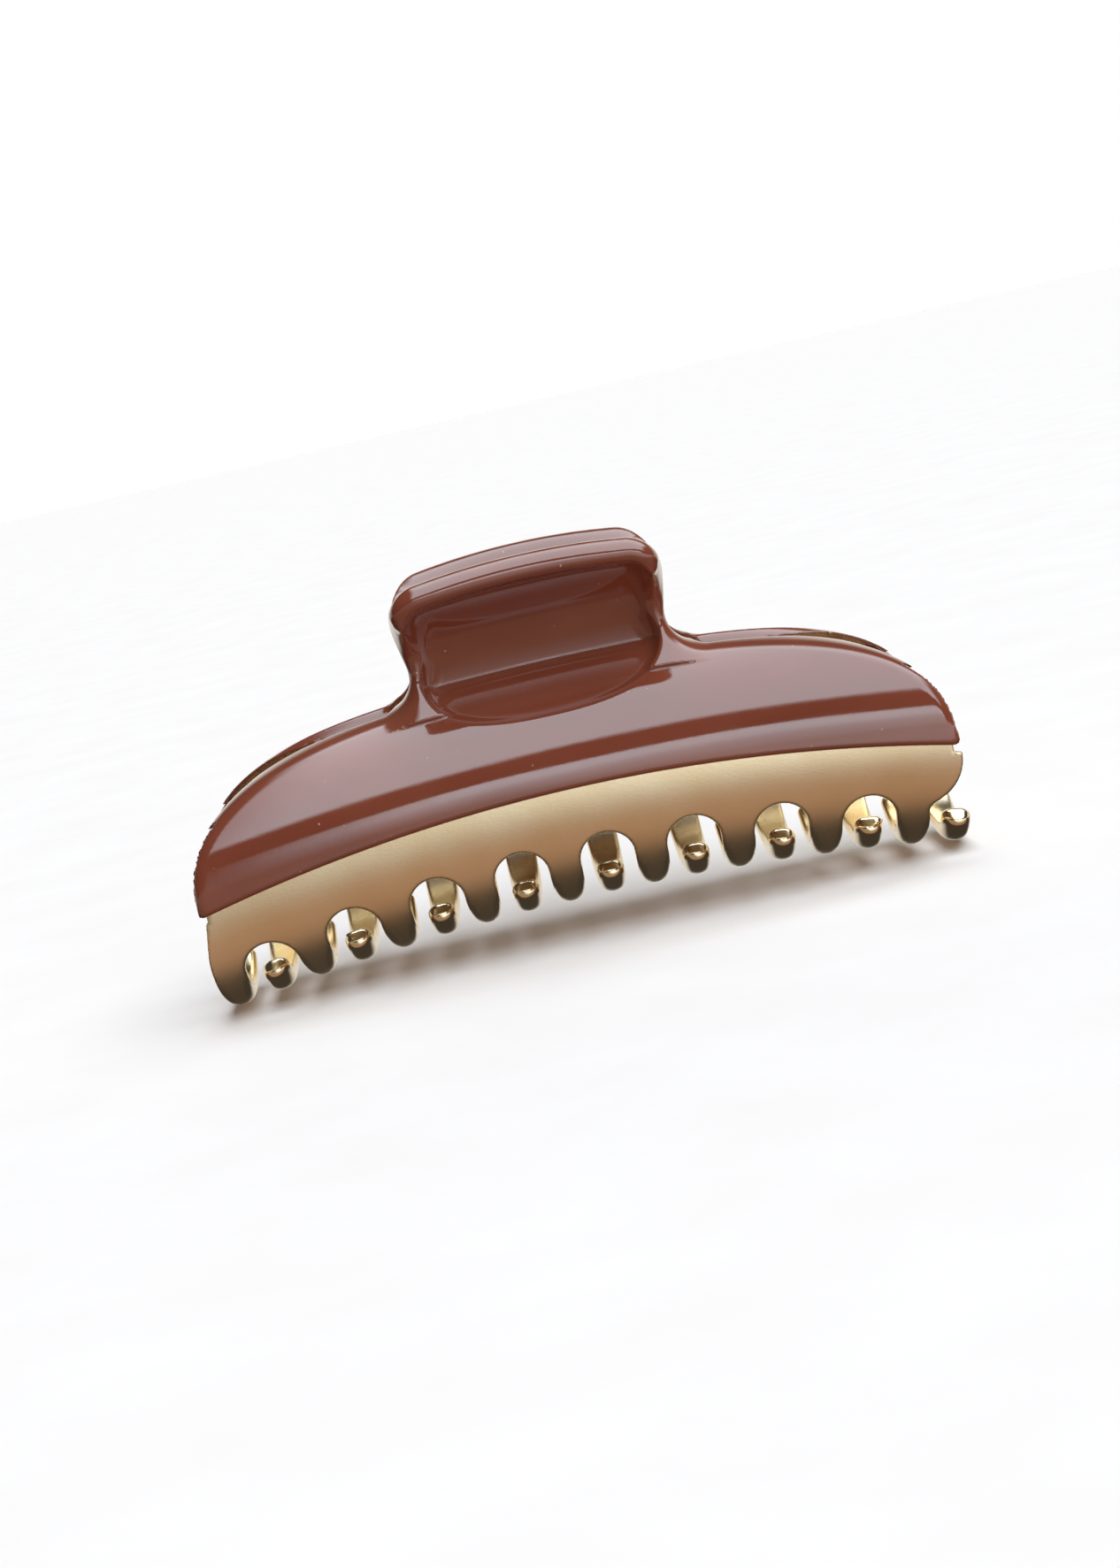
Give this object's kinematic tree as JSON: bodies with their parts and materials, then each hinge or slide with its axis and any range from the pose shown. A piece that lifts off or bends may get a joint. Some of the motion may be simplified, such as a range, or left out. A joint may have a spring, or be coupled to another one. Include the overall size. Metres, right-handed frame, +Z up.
{
  "type": "hair claw clip",
  "caption": "Large spring claw clip with two bowed metal jaws, interleaved teeth and glossy covers with dished thumb tabs.",
  "frame": {"origin": "middle of the clip's length and depth, at the level of the lowest teeth", "axes": "+X along the clip, +Y from the front jaw to the back jaw, +Z up towards the thumb tabs"},
  "size_m": [0.1098, 0.0366, 0.0559],
  "materials": {
    "satin_gold": "satin gold plate, polished on the edges and tips",
    "brown_gloss": "high gloss reddish brown",
    "steel_wire": "bright drawn wire"
  },
  "bodies": {
    "front_half": {"front_jaw": "satin_gold", "front_cover": "brown_gloss", "front_hinge_bracket": "satin_gold", "hinge_pin": "steel_wire", "pin_retainer": "steel_wire", "torsion_spring": "steel_wire"},
    "back_half": {"back_jaw": "satin_gold", "back_cover": "brown_gloss", "back_hinge_bracket": "satin_gold"}
  },
  "joints": [
    {"name": "jaw_hinge", "type": "hinge", "parent": "front_half", "child": "back_half", "pos_m": [0, 0, 0.03895], "axis": [1, 0, 0], "range_deg": [0, 60], "stiffness_Nm_per_rad": 0.18, "springref_deg": -45.84, "deforming": ["torsion_spring"]}
  ]
}
